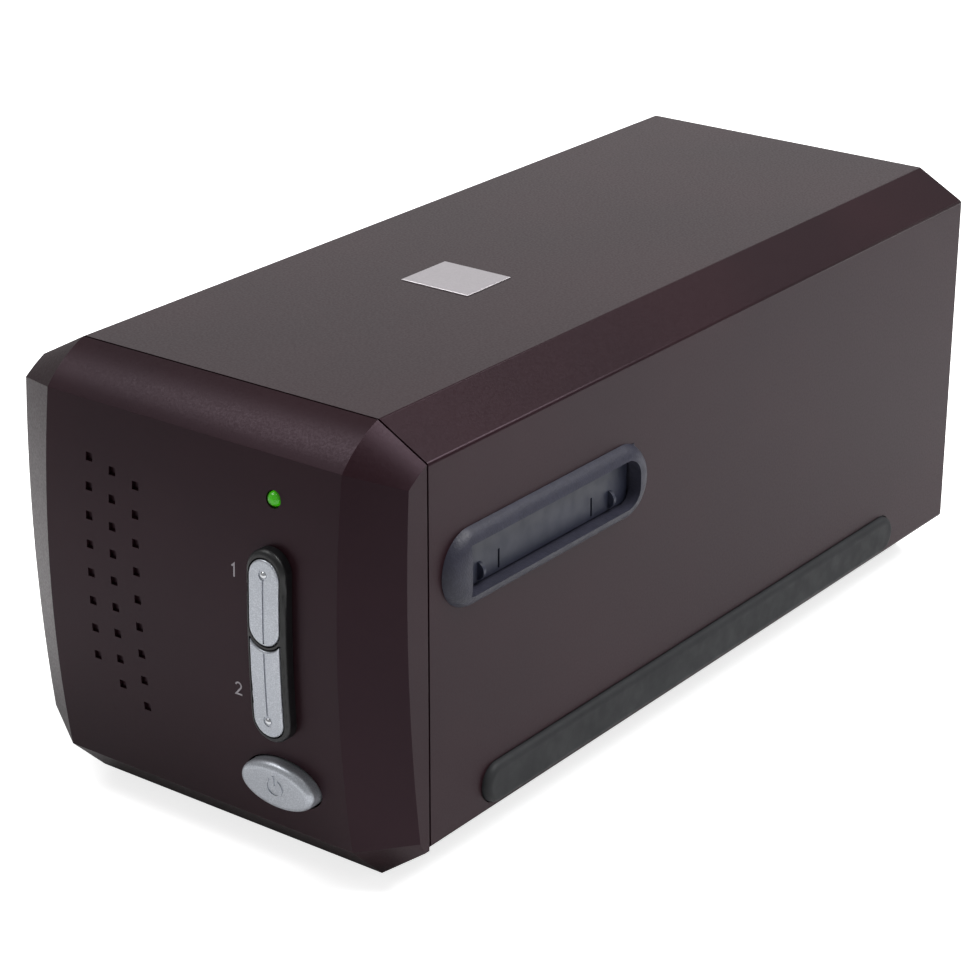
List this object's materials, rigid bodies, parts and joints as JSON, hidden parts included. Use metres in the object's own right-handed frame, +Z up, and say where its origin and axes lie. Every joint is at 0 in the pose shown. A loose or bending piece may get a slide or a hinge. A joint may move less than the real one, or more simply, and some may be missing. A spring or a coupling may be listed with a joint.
{
  "type": "film negative scanner",
  "caption": "Desktop film scanner: an eight-sided case with a bowed front, a film slot with a dust door on each side, scan buttons, and a moving optical carriage inside.",
  "frame": {"origin": "under the middle of the whole scanner, on the surface that its feet stand on", "axes": "+Z up; the bowed front with the buttons faces -Y; the film passes along X"},
  "size_m": [0.127, 0.2696, 0.119],
  "materials": {
    "plum_paint": "satin metallic",
    "black_plastic": "fine grain",
    "charcoal_plastic": "fine grain",
    "door_plastic": "smooth matt",
    "soft_rubber": "matt",
    "silver_cap": "satin silver",
    "silver_plate": "satin",
    "light_lens": "clear green",
    "emitter": "clear",
    "circuit_board": "lacquered",
    "steel": "ground",
    "zinc_steel": "zinc plated",
    "engineering_plastic": "moulded",
    "white_plastic": "moulded",
    "bronze": "sintered",
    "mirror_silver": "first surface",
    "optical_glass": "polished",
    "sensor_ceramic": "glass window",
    "diffuser": "opal",
    "ribbon": "film",
    "port_metal": "nickel plated"
  },
  "bodies": {
    "housing": {"badge_plate": "silver_plate", "board_spacers": "white_plastic", "body_cover": "plum_paint", "bottom_cover": "black_plastic", "bottom_cover_screws": "zinc_steel", "button_board": "circuit_board", "button_board_screws": "zinc_steel", "button_frame": "black_plastic", "button_switches": "engineering_plastic", "cable_socket": "white_plastic", "chassis": "zinc_steel", "chassis_screws": "zinc_steel", "film_channel_lower": "engineering_plastic", "film_channel_upper": "engineering_plastic", "flat_cable": "ribbon", "front_bezel": "plum_paint", "home_sensor": "engineering_plastic", "lamp_board": "circuit_board", "lamp_diffuser": "diffuser", "lamp_housing": "white_plastic", "left_door_pin": "steel", "left_guide_rod": "steel", "left_side_strip": "soft_rubber", "left_slot_surround": "charcoal_plastic", "main_board": "circuit_board", "motor_bracket": "zinc_steel", "power_inlet": "engineering_plastic", "rear_panel": "black_plastic", "rear_panel_screws": "zinc_steel", "right_door_pin": "steel", "right_guide_rod": "steel", "right_side_strip": "soft_rubber", "right_slot_surround": "charcoal_plastic", "rubber_feet": "soft_rubber", "screw_bearing": "bronze", "status_light_emitter": "emitter", "status_light_lens": "light_lens", "stepper_motor": "zinc_steel", "usb_socket": "port_metal"},
    "carriage": {"carriage_bed": "engineering_plastic", "drive_nut": "bronze", "mirror_glass": "mirror_silver", "mirror_holder": "engineering_plastic", "lens_barrel": "engineering_plastic", "lens_glass": "optical_glass", "sensor_board": "circuit_board", "line_sensor": "sensor_ceramic"},
    "lead_screw": {"lead_screw": "steel"},
    "right_door": {"right_dust_door": "door_plastic"},
    "left_door": {"left_dust_door": "door_plastic"},
    "upper_button": {"upper_scan_button": "silver_cap"},
    "lower_button": {"lower_scan_button": "silver_cap"},
    "power_cap": {"power_button": "silver_cap"}
  },
  "joints": [
    {"name": "right_door_hinge", "type": "hinge", "parent": "housing", "child": "right_door", "pos_m": [0.0584, -0.0681, 0.0869], "axis": [0, 1, 0], "range_deg": [0, 75]},
    {"name": "left_door_hinge", "type": "hinge", "parent": "housing", "child": "left_door", "pos_m": [-0.0584, -0.0681, 0.0869], "axis": [0, 1, 0], "range_deg": [0, 75]},
    {"name": "upper_button_press", "type": "slide", "parent": "housing", "child": "upper_button", "axis": [0, 1, 0], "range_m": [0, 0.0007], "stiffness_N_per_m": 600, "springref_m": -0.0005},
    {"name": "lower_button_press", "type": "slide", "parent": "housing", "child": "lower_button", "axis": [0, 1, 0], "range_m": [0, 0.0007], "stiffness_N_per_m": 600, "springref_m": -0.0005},
    {"name": "power_button_press", "type": "slide", "parent": "housing", "child": "power_cap", "axis": [0, 1, 0], "range_m": [0, 0.0012], "stiffness_N_per_m": 500, "springref_m": -0.0008},
    {"name": "carriage_slide", "type": "slide", "parent": "housing", "child": "carriage", "axis": [0, -1, 0], "range_m": [0, 0.033], "deforming": ["flat_cable"]},
    {"name": "lead_screw_turn", "type": "hinge", "parent": "housing", "child": "lead_screw", "pos_m": [0.043, 0.0148, 0.035], "axis": [0, 1, 0], "range_deg": [0, 3961]}
  ],
  "couplings": [
    {"joint": "lead_screw_turn", "follows": "carriage_slide", "rad_per_m": 2094.4}
  ]
}
